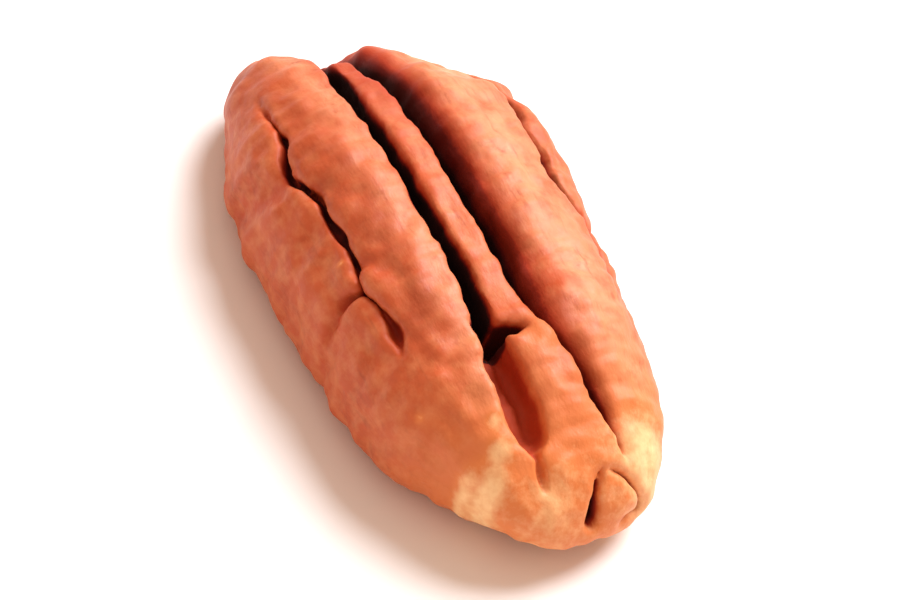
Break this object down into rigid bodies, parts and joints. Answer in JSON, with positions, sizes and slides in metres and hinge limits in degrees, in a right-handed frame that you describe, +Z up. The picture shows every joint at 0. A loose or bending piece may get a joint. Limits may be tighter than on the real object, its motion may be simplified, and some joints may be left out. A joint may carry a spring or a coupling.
{
  "type": "shelled pecan half",
  "caption": "Half of a shelled pecan kernel lying on its flat side, its back furrowed lengthwise between rounded lobes.",
  "frame": {"origin": "on the ground under the middle of the nut's bounding box", "axes": "+X along the nut towards its tip, +Z up through the furrowed back"},
  "size_m": [0.028, 0.0152, 0.0077],
  "materials": {
    "seed_coat": "dull, waxy, finely wrinkled reddish brown seed coat"
  },
  "bodies": {
    "root": {"pecan_half": "seed_coat"}
  },
  "joints": []
}
